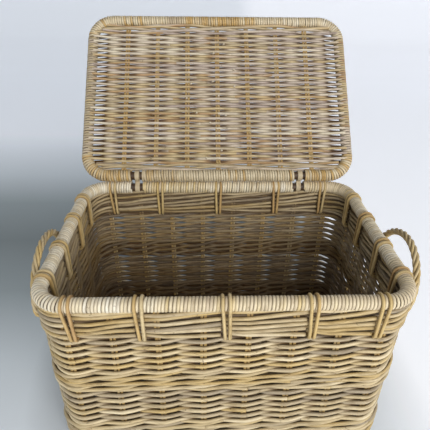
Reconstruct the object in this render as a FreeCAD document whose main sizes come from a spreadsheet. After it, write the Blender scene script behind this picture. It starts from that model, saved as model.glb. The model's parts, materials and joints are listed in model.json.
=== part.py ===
import FreeCAD, Part
import math
import os

import Sketcher
from FreeCAD import Placement, Rotation, Vector

# A woven rattan trunk with a hinged lid.  Millimetres, +Z up, front towards -Y.
# The origin is the middle of the underside of the base.

SIZES = [
    ("rim_width", 600.0, "outside of the wrapped rim, left to right"),
    ("rim_depth", 408.0, "outside of the wrapped rim, front to back"),
    ("rim_height", 345.0, "floor to the centreline of the rim pole"),
    ("rim_corner", 60.0, "outside corner radius of the wrapped rim"),
    ("pole_dia", 18.0, "bare pole inside the rim and the lid frame"),
    ("wrapped_dia", 23.0, "pole with its cane wrapping"),
    ("wall_thick", 19.0, "woven wall, outside to inside"),
    ("border_thick", 18.0, "bundle of rods under the rim, outside to inside"),
    ("border_low", 284.6, "floor to the underside of the border rods"),
    ("upper_top", 279.4, "floor to the top of the upper weave"),
    ("wale_top", 196.0, "floor to the top of the middle wale"),
    ("wale_low", 155.0, "floor to the underside of the middle wale"),
    ("foot_wale_top", 65.0, "floor to the top of the bottom wale"),
    ("hoop_dia", 16.0, "hoop round the foot of the walls"),
    ("base_thick", 15.0, "woven base panel"),
    ("stake_dia", 5.0, "upright rod in the walls and the lid"),
    ("stake_gap", 5.6, "centre distance of the two rods of a pair"),
    ("stake_pitch", 70.8, "pair to pair along the walls"),
    ("tie_dia", 4.6, "round cane looped over the rim"),
    ("tie_gap", 5.0, "centre distance of the two loops of a tie"),
    ("tie_drop", 63.0, "rim centreline to the bottom strand of a tie"),
    ("tie_bend", 5.0, "centreline radius at the lower corners of a tie"),
    ("front_tie_inner", 130.0, "middle of the basket to the inner front and back ties"),
    ("front_tie_outer", 234.0, "middle of the basket to the outer front and back ties"),
    ("side_tie_inner", 48.0, "middle of the basket to the inner side ties"),
    ("side_tie_outer", 129.0, "middle of the basket to the outer side ties"),
    ("handle_dia", 13.0, "roped handle"),
    ("handle_core_dia", 6.0, "straight core inside the roped handle"),
    ("handle_centre", -50.0, "middle of the handle, front to back"),
    ("handle_half", 82.0, "half the distance between a handle's feet"),
    ("handle_rise", 92.0, "foot to the top of the handle's arch"),
    ("handle_foot_out", 311.5, "middle of the basket to the handle's foot"),
    ("handle_foot_up", 270.0, "floor to the handle's foot"),
    ("handle_foot_in", 292.0, "middle of the basket to the end of the foot's stub"),
    ("handle_bend", 11.0, "centreline radius where the foot turns up"),
    ("lean_left", 1.0, "outward lean of the left handle, degrees"),
    ("lean_right", 12.0, "outward lean of the right handle, degrees"),
    ("hinge_out", 180.0, "middle of the basket to a hinge tie"),
    ("hinge_wide", 22.0, "hinge tie along the poles"),
    ("hinge_gap", 24.0, "gap left in the wrappings for a hinge tie"),
    ("hinge_play", 0.1, "radial play of the lid pole in a hinge tie"),
    ("hinge_web", 8.0, "waist of a hinge tie between its two loops"),
    ("rest_gap", 0.4, "clearance between the lid and the ties on the rim"),
    ("lid_lean", 42.0, "open lid, back from upright, degrees"),
    ("lid_width", 605.0, "outside of the lid, left to right"),
    ("lid_reach", 384.0, "hinge axis to the centreline of the lid's front pole"),
    ("lid_thick", 15.0, "woven lid panel"),
    ("lid_band", 30.0, "hinge axis to the inner edge of the lid's edge rods"),
    ("lid_pitch", 69.7, "pair to pair of the lid's rods"),
    ("panel_gap", 0.3, "clearance between the lid panel and its frame"),
]

FRONT_PAIRS = 8
SIDE_PAIRS = 5
LID_PAIRS = 7

# Centreline of the rim pole, and of everything that stands under it.
HALF_X = "(Sizes.rim_width - Sizes.wrapped_dia) / 2"
HALF_Y = "(Sizes.rim_depth - Sizes.wrapped_dia) / 2"
CORNER = "(Sizes.rim_corner - Sizes.wrapped_dia / 2)"
TIE_RADIUS = "(Sizes.wrapped_dia / 2 + Sizes.tie_dia / 2 + 0.1)"
HINGE_UP = f"(Sizes.rim_height + {TIE_RADIUS} + Sizes.tie_dia / 2 + Sizes.wrapped_dia / 2 + Sizes.rest_gap)"
LID_HALF_X = "(Sizes.lid_width - Sizes.wrapped_dia) / 2"

doc = FreeCAD.newDocument("rattan_trunk")
sheet = doc.addObject("Spreadsheet::Sheet", "Sizes")
for row, (alias, number, meaning) in enumerate(SIZES, start=1):
    sheet.set(f"A{row}", alias)
    sheet.set(f"B{row}", str(number))
    sheet.set(f"C{row}", meaning)
    sheet.setAlias(f"B{row}", alias)
doc.recompute()

nodes = []


def value(expression):
    """Number that an expression of the sheet's sizes has now."""
    return float(sheet.evalExpression(expression))


def bind(thing, **properties):
    """Tie properties of a document object to expressions; a double underscore is a dot."""
    for name, expression in properties.items():
        thing.setExpression(name.replace("__", "."), expression)
    return thing


def node(thing, label):
    """Name a finished sub-part and list it for export."""
    thing.Label = label
    nodes.append(thing)
    return thing


def hinged(thing):
    """Swing a sub-part drawn flat in the lid's own frame back to the open position."""
    thing.Placement = Placement(Vector(0, 0, 0), Rotation(Vector(1, 0, 0), 90 - value("Sizes.lid_lean")))
    return bind(
        thing,
        Placement__Base__y=HALF_Y,
        Placement__Base__z=HINGE_UP,
        Placement__Rotation__Angle="(90 - Sizes.lid_lean) * 1 deg",
    )


def origin_plane(body, role):
    return next(plane for plane in body.Origin.OriginFeatures if plane.Role == role)


def new_sketch(body, name, plane, **offsets):
    sketch = body.newObject("Sketcher::SketchObject", name)
    sketch.AttachmentSupport = (origin_plane(body, plane), [""])
    sketch.MapMode = "FlatFace"
    for axis, expression in offsets.items():
        bind(sketch, **{f"AttachmentOffset__Base__{axis}": expression})
    return sketch


def dimension(sketch, name, expression, kind, *where):
    """One driving dimension, bound to the sheet."""
    index = sketch.addConstraint(Sketcher.Constraint(kind, *where, value(expression)))
    sketch.renameConstraint(index, name)
    bind(sketch, **{f"Constraints__{name}": expression})


def rounded_rectangle(sketch, half_x, half_y, corner, prefix="outer"):
    """Rectangle centred on the sketch's origin, with equal arcs at its corners."""
    across, up, bend = value(half_x), value(half_y), value(corner)
    turns = [(1, -1, -90), (1, 1, 0), (-1, 1, 90), (-1, -1, 180)]
    first = sketch.GeometryCount
    ends = []
    for sign_x, sign_y, start in turns:
        centre = Vector(sign_x * (across - bend), sign_y * (up - bend), 0)
        circle = Part.Circle(centre, Vector(0, 0, 1), bend)
        sketch.addGeometry(Part.ArcOfCircle(circle, math.radians(start), math.radians(start + 90)), False)
        ends.append([centre + Rotation(Vector(0, 0, 1), turn) * Vector(bend, 0, 0) for turn in (start, start + 90)])
    for index in range(4):
        sketch.addGeometry(Part.LineSegment(ends[index - 1][1], ends[index][0]), False)
    arcs = [first + index for index in range(4)]
    lines = [first + 4 + index for index in range(4)]
    for index in range(4):
        sketch.addConstraint(Sketcher.Constraint("Tangent", lines[index], 2, arcs[index], 1))
        sketch.addConstraint(Sketcher.Constraint("Tangent", arcs[index - 1], 2, lines[index], 1))
        kind = "Horizontal" if index % 2 == 0 else "Vertical"
        sketch.addConstraint(Sketcher.Constraint(kind, lines[index]))
    for index in range(3):
        sketch.addConstraint(Sketcher.Constraint("Equal", arcs[index], arcs[index + 1]))
    sketch.addConstraint(Sketcher.Constraint("Symmetric", lines[0], 1, lines[2], 1, -1, 1))
    dimension(sketch, prefix + "_corner", corner, "Radius", arcs[0])
    dimension(sketch, prefix + "_width", f"2 * {half_x}", "DistanceX", lines[3], 1, lines[1], 1)
    dimension(sketch, prefix + "_depth", f"2 * {half_y}", "DistanceY", lines[0], 1, lines[2], 1)


def section_circle(sketch, name, across, up, diameter):
    """Circle at a point of the sketch given by two expressions."""
    centre = Vector(value(across), value(up), 0)
    circle = sketch.addGeometry(Part.Circle(centre, Vector(0, 0, 1), value(diameter) / 2), False)
    dimension(sketch, name + "_dia", diameter, "Diameter", circle)
    dimension(sketch, name + "_across", across, "DistanceX", -1, 1, circle, 3)
    dimension(sketch, name + "_up", up, "DistanceY", -1, 1, circle, 3)


def all_edges(sketch):
    return (sketch, [f"Edge{index + 1}" for index in range(sketch.GeometryCount)])


def pole_ring(name, half_x, half_y, corner, height, diameter, shift="0"):
    """Round pole bent to a rounded rectangle."""
    body = doc.addObject("PartDesign::Body", name)
    path = new_sketch(body, name + "_path", "XY_Plane", z=height, y=shift)
    rounded_rectangle(path, half_x, half_y, corner)
    section = new_sketch(body, name + "_section", "YZ_Plane", z=f"{corner} - {half_x}")
    section_circle(section, "rod", f"{shift} - {half_y}", height, diameter)
    doc.recompute()
    pipe = body.newObject("PartDesign::AdditivePipe", name + "_pipe")
    pipe.Profile = (section, [""])
    pipe.Spine = all_edges(path)
    section.Visibility = False
    path.Visibility = False
    body.Tip = pipe
    return body


def wall_band(name, low, high, thick):
    """One band of the wall: an upright ring centred under the rim pole."""
    body = doc.addObject("PartDesign::Body", name)
    plan = new_sketch(body, name + "_plan", "XY_Plane", z=low)
    for prefix, side in (("outer", "+"), ("inner", "-")):
        grown = [f"({size} {side} {thick} / 2)" for size in (HALF_X, HALF_Y, CORNER)]
        rounded_rectangle(plan, *grown, prefix=prefix)
    pad = body.newObject("PartDesign::Pad", name + "_pad")
    pad.Profile = plan
    bind(pad, Length=f"{high} - {low}")
    return body


def panel(name, half_x, half_y, corner, low, thick, shift="0"):
    """Flat rounded plate."""
    body = doc.addObject("PartDesign::Body", name)
    plan = new_sketch(body, name + "_plan", "XY_Plane", z=low, y=shift)
    rounded_rectangle(plan, half_x, half_y, corner)
    pad = body.newObject("PartDesign::Pad", name + "_pad")
    pad.Profile = plan
    bind(pad, Length=thick)
    return body


def rod(name, start, length, diameter, axis=Vector(0, 0, 1)):
    """Straight round rod from a start point given by three expressions."""
    piece = doc.addObject("Part::Cylinder", name)
    piece.Placement = Placement(Vector(0, 0, 0), Rotation(Vector(0, 0, 1), axis))
    bind(piece, Radius=f"{diameter} / 2", Height=length)
    for name_of_axis, expression in zip("xyz", start):
        bind(piece, **{f"Placement__Base__{name_of_axis}": expression})
    return piece


def block(name, low, high):
    """Box between two corners given by expressions."""
    piece = doc.addObject("Part::Box", name)
    for axis, side, first, last in zip("xyz", ("Length", "Width", "Height"), low, high):
        bind(piece, **{side: f"({last}) - ({first})", f"Placement__Base__{axis}": first})
    return piece


def boolean(kind, name, base, tool):
    piece = doc.addObject(f"Part::{kind}", name)
    piece.Base = base
    piece.Tool = tool
    return piece


def group(name, pieces):
    piece = doc.addObject("Part::Compound", name)
    piece.Links = pieces
    return piece


def pair_offsets(count, pitch, gap):
    """Expressions for the rods of evenly spaced pairs, centred on zero."""
    for index in range(count):
        for side in (-1, 1):
            yield f"{index - (count - 1) / 2} * {pitch} + {side} * {gap} / 2"


# Rim

RIM = (HALF_X, HALF_Y, CORNER, "Sizes.rim_height")
rim_pole = node(pole_ring("rim_pole_body", *RIM, "Sizes.pole_dia"), "rim_pole")


def hinge_gaps(name, axis_y, axis_z):
    """Two blocks that clear a wrapping where the hinge ties sit."""
    pieces = []
    for side, sign in (("left", -1), ("right", 1)):
        middle = f"{sign} * Sizes.hinge_out"
        low = (f"{middle} - Sizes.hinge_gap / 2", f"{axis_y} - Sizes.wrapped_dia", f"{axis_z} - Sizes.wrapped_dia")
        high = (f"{middle} + Sizes.hinge_gap / 2", f"{axis_y} + Sizes.wrapped_dia", f"{axis_z} + Sizes.wrapped_dia")
        pieces.append(block(f"{name}_{side}", low, high))
    return group(name, pieces)


rim_wrapping = boolean("Cut", "rim_wrapping", pole_ring("rim_outside", *RIM, "Sizes.wrapped_dia"), rim_pole)
rim_gaps = hinge_gaps("rim_gaps", HALF_Y, "Sizes.rim_height")
node(boolean("Cut", "rim_wrap_cut", rim_wrapping, rim_gaps), "rim_wrap")

# Stakes: upright rods in pairs, evenly spaced round the walls

STAKE_LOW = "Sizes.hoop_dia"
STAKE_LENGTH = "(Sizes.rim_height - Sizes.wrapped_dia / 2 - Sizes.hoop_dia)"
FACES = {
    "front": (FRONT_PAIRS, "x", f"-{HALF_Y}"),
    "back": (FRONT_PAIRS, "x", HALF_Y),
    "left": (SIDE_PAIRS, "y", f"-{HALF_X}"),
    "right": (SIDE_PAIRS, "y", HALF_X),
}
stake_groups = []
for face, (pairs, along, wall) in FACES.items():
    rods = []
    for number, offset in enumerate(pair_offsets(pairs, "Sizes.stake_pitch", "Sizes.stake_gap")):
        start = (offset, wall, STAKE_LOW) if along == "x" else (wall, offset, STAKE_LOW)
        rods.append(rod(f"{face}_stake_{number}", start, STAKE_LENGTH, "Sizes.stake_dia"))
    stake_groups.append(node(group(f"{face}_stake_group", rods), f"{face}_stakes"))
all_stakes = group("all_stakes", stake_groups)

# Handles: a roped arch on each short side, its feet turned into the wall


def handle_path(sign, lean):
    """Wire of a handle: stub, bend, leg, half circle, leg, bend, stub."""
    tilt = math.radians(lean)
    out = Vector(sign, 0, 0)
    rise = Vector(sign * math.sin(tilt), 0, math.cos(tilt))
    bend = value("Sizes.handle_bend")
    inner_half = (math.pi / 2 + tilt) / 2
    set_back = bend / math.tan(inner_half)
    half = value("Sizes.handle_half")
    shoulder = value("Sizes.handle_rise") - half
    corners = []
    for side in (-1, 1):
        across = value("Sizes.handle_centre") + side * half
        foot = Vector(sign * value("Sizes.handle_foot_out"), across, value("Sizes.handle_foot_up"))
        stub = Vector(sign * value("Sizes.handle_foot_in"), across, foot.z)
        towards_centre = (rise - out).normalize()
        bend_middle = foot + towards_centre * (bend / math.sin(inner_half) - bend)
        corners.append((stub, foot - out * set_back, bend_middle, foot + rise * set_back, foot + rise * shoulder))
    front, back = corners
    top = (front[4] + back[4]) / 2 + rise * half
    return Part.Wire([
        Part.LineSegment(front[0], front[1]).toShape(),
        Part.Arc(front[1], front[2], front[3]).toShape(),
        Part.LineSegment(front[3], front[4]).toShape(),
        Part.Arc(front[4], top, back[4]).toShape(),
        Part.LineSegment(back[4], back[3]).toShape(),
        Part.Arc(back[3], back[2], back[1]).toShape(),
        Part.LineSegment(back[1], back[0]).toShape(),
    ])


def handle_solid(name, sign, lean, diameter):
    """Round rod swept along a handle's wire."""
    path = handle_path(sign, lean)
    start = path.Edges[0].Vertexes[0].Point
    circle = Part.Circle(start, Vector(sign, 0, 0), diameter / 2)
    section = Part.Wire([circle.toShape()])
    piece = doc.addObject("Part::Feature", name)
    piece.Shape = path.makePipeShell([section], True, True)
    return piece


handle_blanks = []
for side, sign in (("left", -1), ("right", 1)):
    lean = value(f"Sizes.lean_{side}")
    core = handle_solid(f"{side}_handle_core_rod", sign, lean, value("Sizes.handle_core_dia"))
    blank = handle_solid(f"{side}_handle_blank", sign, lean, value("Sizes.handle_dia"))
    node(core, f"{side}_handle_core")
    node(boolean("Cut", f"{side}_handle_rope", blank, core), f"{side}_handle_strands")
    handle_blanks.append(blank)

# Walls: bands of weave and of wale, with channels for the stakes

upper_ring = wall_band("upper_ring", "Sizes.wale_top", "Sizes.upper_top", "Sizes.wall_thick")
upper_cuts = group("upper_cuts", [all_stakes] + handle_blanks)
node(boolean("Cut", "upper_weave_cut", upper_ring, upper_cuts), "upper_weave")
BANDS = [
    ("border_rods", "Sizes.border_low", "(Sizes.rim_height - Sizes.wrapped_dia / 2)", "Sizes.border_thick"),
    ("middle_wale", "Sizes.wale_low", "Sizes.wale_top", "Sizes.wall_thick"),
    ("lower_weave", "Sizes.foot_wale_top", "Sizes.wale_low", "Sizes.wall_thick"),
    ("bottom_wale", "Sizes.hoop_dia", "Sizes.foot_wale_top", "Sizes.wall_thick"),
]
for label, low, high, thick in BANDS:
    ring = wall_band(label + "_ring", low, high, thick)
    node(boolean("Cut", label + "_cut", ring, all_stakes), label)

# Base: a hoop under the walls, and a woven panel on straight sticks

hoop = pole_ring("base_hoop_body", HALF_X, HALF_Y, CORNER, "Sizes.hoop_dia / 2", "Sizes.hoop_dia")
node(hoop, "base_hoop")
base_inside = [f"({size} - Sizes.hoop_dia / 2)" for size in (HALF_X, HALF_Y, CORNER)]
base_panel = panel("base_panel", *base_inside, "0", "Sizes.base_thick")
stick_reach = f"({HALF_Y} - Sizes.hoop_dia / 2)"
sticks = []
for number, offset in enumerate(pair_offsets(FRONT_PAIRS - 2, "Sizes.stake_pitch", "Sizes.stake_gap")):
    start = (offset, f"-{stick_reach}", "Sizes.base_thick / 2")
    sticks.append(rod(f"base_stick_{number}", start, f"2 * {stick_reach}", "Sizes.stake_dia", Vector(0, 1, 0)))
base_sticks = node(group("base_stick_group", sticks), "base_sticks")
node(boolean("Cut", "base_weave_cut", base_panel, base_sticks), "base_weave")

# Ties: pairs of cane loops over the rim, passing through the wall below the border rods

loop = doc.addObject("PartDesign::Body", "tie_loop")
loop_path = new_sketch(loop, "tie_loop_path", "XZ_Plane")
radius, bend, drop = value(TIE_RADIUS), value("Sizes.tie_bend"), value("Sizes.tie_drop")
up_axis = Vector(0, 0, 1)
over = Part.ArcOfCircle(Part.Circle(Vector(0, 0, 0), up_axis, radius), 0, math.pi)
left_leg = Part.LineSegment(Vector(-radius, 0, 0), Vector(-radius, bend - drop, 0))
left_bend = Part.ArcOfCircle(Part.Circle(Vector(bend - radius, bend - drop, 0), up_axis, bend), math.pi, 1.5 * math.pi)
strand = Part.LineSegment(Vector(bend - radius, -drop, 0), Vector(radius - bend, -drop, 0))
right_bend = Part.ArcOfCircle(
    Part.Circle(Vector(radius - bend, bend - drop, 0), up_axis, bend), 1.5 * math.pi, 2 * math.pi
)
right_leg = Part.LineSegment(Vector(radius, bend - drop, 0), Vector(radius, 0, 0))
loop_path.addGeometry([over, left_leg, left_bend, strand, right_bend, right_leg], False)
JOINTS = [(0, 2, 1, 1), (1, 2, 2, 1), (2, 2, 3, 1), (3, 2, 4, 1), (4, 2, 5, 1), (5, 2, 0, 1)]
for first, first_end, second, second_end in JOINTS:
    loop_path.addConstraint(Sketcher.Constraint("Tangent", first, first_end, second, second_end))
loop_path.addConstraint(Sketcher.Constraint("Coincident", 0, 3, -1, 1))
loop_path.addConstraint(Sketcher.Constraint("Horizontal", 3))
loop_path.addConstraint(Sketcher.Constraint("Vertical", 1))
loop_path.addConstraint(Sketcher.Constraint("Equal", 2, 4))
dimension(loop_path, "over", TIE_RADIUS, "Radius", 0)
dimension(loop_path, "bend", "Sizes.tie_bend", "Radius", 2)
dimension(loop_path, "drop", "Sizes.tie_drop", "DistanceY", 3, 1, -1, 1)
loop_section = new_sketch(loop, "tie_loop_section", "XY_Plane")
section_circle(loop_section, "rod", TIE_RADIUS, "0", "Sizes.tie_dia")
doc.recompute()
loop_pipe = loop.newObject("PartDesign::AdditivePipe", "tie_loop_pipe")
loop_pipe.Profile = (loop_section, [""])
loop_pipe.Spine = all_edges(loop_path)
doc.recompute()

LONG_TIES = ["-Sizes.front_tie_outer", "-Sizes.front_tie_inner", "0", "Sizes.front_tie_inner", "Sizes.front_tie_outer"]
SIDE_TIES = ["-Sizes.side_tie_outer", "-Sizes.side_tie_inner", "Sizes.side_tie_inner", "Sizes.side_tie_outer"]
for face, (_, along, wall) in FACES.items():
    places = LONG_TIES if along == "x" else SIDE_TIES
    turn = 90 if along == "x" else 0
    loops = []
    for place in places:
        for side in (-1, 1):
            offset = f"{place} + {side} * Sizes.tie_gap / 2"
            link = doc.addObject("App::Link", f"{face}_loop_{len(loops)}")
            link.LinkedObject = loop
            link.Placement = Placement(Vector(0, 0, 0), Rotation(Vector(0, 0, 1), turn))
            spot = (offset, wall) if along == "x" else (wall, offset)
            bind(link, Placement__Base__x=spot[0], Placement__Base__y=spot[1], Placement__Base__z="Sizes.rim_height")
            loops.append(link)
    node(group(f"{face}_tie_group", loops), f"{face}_ties")

# Hinge ties: figure-of-eight cane loops, tight on the rim pole and free on the lid pole

for side, sign in (("left", -1), ("right", 1)):
    start_x = f"{sign} * Sizes.hinge_out - Sizes.hinge_wide / 2"
    low_end = (start_x, HALF_Y, "Sizes.rim_height")
    high_end = (start_x, HALF_Y, HINGE_UP)
    along_x = Vector(1, 0, 0)
    running = "(Sizes.pole_dia + 2 * Sizes.hinge_play)"
    outside = [
        rod(f"{side}_hinge_low", low_end, "Sizes.hinge_wide", "Sizes.wrapped_dia", along_x),
        rod(f"{side}_hinge_high", high_end, "Sizes.hinge_wide", "Sizes.wrapped_dia", along_x),
        block(
            f"{side}_hinge_waist",
            (start_x, f"{HALF_Y} - Sizes.hinge_web / 2", "Sizes.rim_height"),
            (f"{start_x} + Sizes.hinge_wide", f"{HALF_Y} + Sizes.hinge_web / 2", HINGE_UP),
        ),
    ]
    fused = doc.addObject("Part::MultiFuse", f"{side}_hinge_outside")
    fused.Shapes = outside
    bores = [
        rod(f"{side}_hinge_low_bore", low_end, "Sizes.hinge_wide", "Sizes.pole_dia", along_x),
        rod(f"{side}_hinge_high_bore", high_end, "Sizes.hinge_wide", running, along_x),
    ]
    node(boolean("Cut", f"{side}_hinge_cut", fused, group(f"{side}_hinge_bores", bores)), f"{side}_hinge_tie")

# Lid, drawn flat: the hinge axis is its X axis and the panel reaches towards +Y

LID_HALF_Y = "(Sizes.lid_reach / 2)"
LID_MIDDLE = "Sizes.lid_reach / 2"
LID_FRAME = (LID_HALF_X, LID_HALF_Y, CORNER, "0")
lid_pole = pole_ring("lid_pole_body", *LID_FRAME, "Sizes.pole_dia", shift=LID_MIDDLE)
node(hinged(group("lid_pole_open", [lid_pole])), "lid_pole")


def lid_slice(name, base, low_y, high_y, low_x="-Sizes.lid_width", high_x="Sizes.lid_width"):
    """The part of a lid ring or panel between two distances from the hinge."""
    low = (low_x, low_y, "-Sizes.wrapped_dia")
    high = (high_x, high_y, "Sizes.wrapped_dia")
    return boolean("Common", name, base, block(name + "_block", low, high))


lid_outside = pole_ring("lid_outside", *LID_FRAME, "Sizes.wrapped_dia", shift=LID_MIDDLE)
lid_wrapping = boolean("Cut", "lid_wrapping", lid_outside, lid_pole)
lid_front_wrap = lid_slice("lid_front_wrap_part", lid_wrapping, f"Sizes.lid_reach - {CORNER}", "2 * Sizes.lid_reach")
node(hinged(lid_front_wrap), "lid_front_wrap")
lid_back_part = lid_slice("lid_back_part", lid_wrapping, "-Sizes.lid_reach", CORNER)
lid_gaps = hinge_gaps("lid_gaps", "0", "0")
node(hinged(boolean("Cut", "lid_back_wrap_cut", lid_back_part, lid_gaps)), "lid_back_wrap")
SIDE_RANGE = (CORNER, f"Sizes.lid_reach - {CORNER}")
lid_left_wrap = lid_slice("lid_left_wrap_part", lid_wrapping, *SIDE_RANGE, high_x="0")
node(hinged(lid_left_wrap), "lid_left_wrap")
lid_right_wrap = lid_slice("lid_right_wrap_part", lid_wrapping, *SIDE_RANGE, low_x="0")
node(hinged(lid_right_wrap), "lid_right_wrap")

lid_rods = []
for number, offset in enumerate(pair_offsets(LID_PAIRS, "Sizes.lid_pitch", "Sizes.stake_gap")):
    start = (offset, "Sizes.wrapped_dia / 2", "0")
    lid_rods.append(rod(f"lid_rod_{number}", start, "Sizes.lid_reach - Sizes.wrapped_dia", "Sizes.stake_dia",
                        Vector(0, 1, 0)))
lid_stakes = group("lid_stake_group", lid_rods)
lid_stakes_open = group("lid_stakes_open", [lid_stakes])
node(hinged(lid_stakes_open), "lid_stakes")

lid_inside = [f"({size} - Sizes.wrapped_dia / 2 - Sizes.panel_gap)" for size in (LID_HALF_X, LID_HALF_Y, CORNER)]
lid_panel = panel("lid_panel", *lid_inside, "-Sizes.lid_thick / 2", "Sizes.lid_thick", shift=LID_MIDDLE)
lid_woven = boolean("Cut", "lid_woven", lid_panel, lid_stakes)
LID_BANDS = [
    ("lid_back_rods", "-Sizes.lid_reach", "Sizes.lid_band"),
    ("lid_weave", "Sizes.lid_band", "Sizes.lid_reach - Sizes.lid_band"),
    ("lid_front_rods", "Sizes.lid_reach - Sizes.lid_band", "2 * Sizes.lid_reach"),
]
for label, low_y, high_y in LID_BANDS:
    node(hinged(lid_slice(label + "_part", lid_woven, low_y, high_y)), label)

# Checks and export

doc.recompute()
for thing in doc.Objects:
    if "Invalid" in thing.State or "Error" in thing.State:
        raise RuntimeError(f"{thing.Name} did not compute: {thing.State}")
for thing in nodes:
    if thing.Shape.isNull() or not thing.Shape.isValid() or not thing.Shape.Solids:
        raise RuntimeError(f"{thing.Label} has no valid solid")

os.makedirs("parts", exist_ok=True)
for thing in nodes:
    thing.Shape.exportStep(f"parts/{thing.Label}.step")
    box = thing.Shape.BoundBox
    print(f"{thing.Label:22s} solids {len(thing.Shape.Solids):2d} volume {thing.Shape.Volume / 1000:8.1f} cm3 "
          f"z {box.ZMin:6.1f} to {box.ZMax:6.1f}")
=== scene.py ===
import json
import math

import bpy
import numpy as np
from mathutils import Matrix, Vector


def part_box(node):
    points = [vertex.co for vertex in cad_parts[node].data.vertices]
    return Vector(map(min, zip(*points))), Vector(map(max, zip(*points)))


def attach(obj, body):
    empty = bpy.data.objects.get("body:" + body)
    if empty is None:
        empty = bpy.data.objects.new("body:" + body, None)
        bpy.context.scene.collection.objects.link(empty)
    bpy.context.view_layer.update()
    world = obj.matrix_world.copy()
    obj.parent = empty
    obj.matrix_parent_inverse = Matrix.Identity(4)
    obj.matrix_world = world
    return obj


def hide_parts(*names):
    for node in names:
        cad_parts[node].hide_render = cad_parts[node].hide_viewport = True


# Looks of a woven rattan trunk with a hinged lid: every cane is its own swept rod.
# Metres, +Z up, front towards -Y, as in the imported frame.

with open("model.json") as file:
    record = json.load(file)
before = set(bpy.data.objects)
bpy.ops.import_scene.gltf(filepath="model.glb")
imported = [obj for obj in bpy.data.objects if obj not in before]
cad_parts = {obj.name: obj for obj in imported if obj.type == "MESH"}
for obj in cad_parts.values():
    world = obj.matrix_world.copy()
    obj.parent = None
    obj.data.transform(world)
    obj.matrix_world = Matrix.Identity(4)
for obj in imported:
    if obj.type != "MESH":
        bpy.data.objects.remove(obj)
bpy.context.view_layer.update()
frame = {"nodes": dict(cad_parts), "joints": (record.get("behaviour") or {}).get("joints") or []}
draw = np.random.default_rng(20)

UP = np.array([0.0, 0.0, 1.0])
ALONG_X = np.array([1.0, 0.0, 0.0])
MM = 0.001

# ---------------------------------------------------------------- places from the frame

pole_low, pole_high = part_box("rim_pole")
wrap_low, wrap_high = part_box("rim_wrap")
POLE_R = (pole_high.z - pole_low.z) / 2
WRAP_R = (wrap_high.z - wrap_low.z) / 2
RIM_Z = (pole_high.z + pole_low.z) / 2
HALF_X = pole_high.x - POLE_R
HALF_Y = pole_high.y - POLE_R
CORNER = 48.5 * MM

hinge = frame["joints"][0]
HINGE_Y, HINGE_Z = hinge["pos_m"][1], hinge["pos_m"][2]
_, lid_pole_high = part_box("lid_pole")
LID_HALF_X = lid_pole_high.x - POLE_R
lid_rise = lid_pole_high.z - POLE_R - HINGE_Z
lid_back = lid_pole_high.y - POLE_R - HINGE_Y
LID_REACH = math.hypot(lid_rise, lid_back)
LID_OUT = np.array([0.0, lid_back, lid_rise]) / LID_REACH
LID_IN = np.array([0.0, -lid_rise, lid_back]) / LID_REACH

STAKES_ROUND = 26
FRONT_TIES = (-234 * MM, -130 * MM, 0.0, 130 * MM, 234 * MM)
SIDE_TIES = (-129 * MM, -48 * MM, 48 * MM, 129 * MM)
HINGE_TIES = (-180 * MM, 180 * MM)


def band(node):
    """Lowest and highest height of a CAD node."""
    low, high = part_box(node)
    return low.z, high.z


# ---------------------------------------------------------------- paths


class Ring:
    """Rounded rectangle, walked anticlockwise seen from above, from the middle of the front."""

    def __init__(self, half_x, half_y, corner):
        self.half_x, self.half_y, self.corner = half_x, half_y, corner
        a, b, bend = half_x - corner, half_y - corner, corner
        quarter = math.pi / 2 * bend
        self.a, self.b, self.quarter = a, b, quarter
        self.length = 4 * a + 4 * b + 4 * quarter
        # (length, start point, direction angle, turns)
        self.parts = [
            (a, (0, -half_y), 0, False),
            (quarter, (a, -b), -90, True),
            (2 * b, (half_x, -b), 90, False),
            (quarter, (a, b), 0, True),
            (2 * a, (a, half_y), 180, False),
            (quarter, (-a, b), 90, True),
            (2 * b, (-half_x, b), 270, False),
            (quarter, (-a, -b), 180, True),
            (a, (-a, -half_y), 0, False),
        ]

    def at(self, s):
        """Points (n, 2) and outward normals (n, 2) at distances s."""
        s = np.mod(np.asarray(s, float), self.length)
        point = np.zeros((len(s), 2))
        normal = np.zeros((len(s), 2))
        start = 0.0
        for length, origin, degrees, turns in self.parts:
            here = (s >= start - 1e-12) & (s <= start + length + 1e-12)
            step = s[here] - start
            angle = math.radians(degrees)
            if turns:
                angle = angle + step / self.corner
                facing = np.stack([np.cos(angle), np.sin(angle)], 1)
                point[here] = np.array(origin) + self.corner * facing
                normal[here] = facing
            else:
                way = np.array([math.cos(angle), math.sin(angle)])
                point[here] = np.array(origin) + step[:, None] * way
                normal[here] = (way[1], -way[0])
            start += length
        return point, normal

    def front(self, x):
        return x

    def right(self, y):
        return self.a + self.quarter + self.b + y

    def back(self, x):
        return 2 * self.a + 2 * self.quarter + 2 * self.b - x

    def left(self, y):
        return 3 * self.a + 3 * self.quarter + 3 * self.b - y


rim = Ring(HALF_X, HALF_Y, CORNER)
lid_ring = Ring(LID_HALF_X, LID_REACH / 2, CORNER)
STAKE_PITCH = rim.length / STAKES_ROUND


def on_wall(s, out, z):
    """Points of the wall: distance round it, distance outwards, height."""
    point, normal = rim.at(s)
    out = np.broadcast_to(out, (len(point),))
    z = np.broadcast_to(z, (len(point),))
    flat = point + normal * out[:, None]
    return np.column_stack([flat, z])


def wall_normal(s):
    _, normal = rim.at(s)
    return np.column_stack([normal, np.zeros(len(normal))])


def on_lid(x, v, w):
    """Points of the open lid: x, distance from the hinge, distance to its inner side."""
    x, v, w = np.broadcast_arrays(np.asarray(x, float), v, w)
    base = np.array([0.0, HINGE_Y, HINGE_Z])
    return base + x[..., None] * ALONG_X + v[..., None] * LID_OUT + w[..., None] * LID_IN


def wander(count, size, step=6):
    """Smooth random numbers, one each point."""
    knots = draw.normal(0, size, count // step + 3)
    return np.interp(np.arange(count) / step, np.arange(len(knots)), knots)


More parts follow.
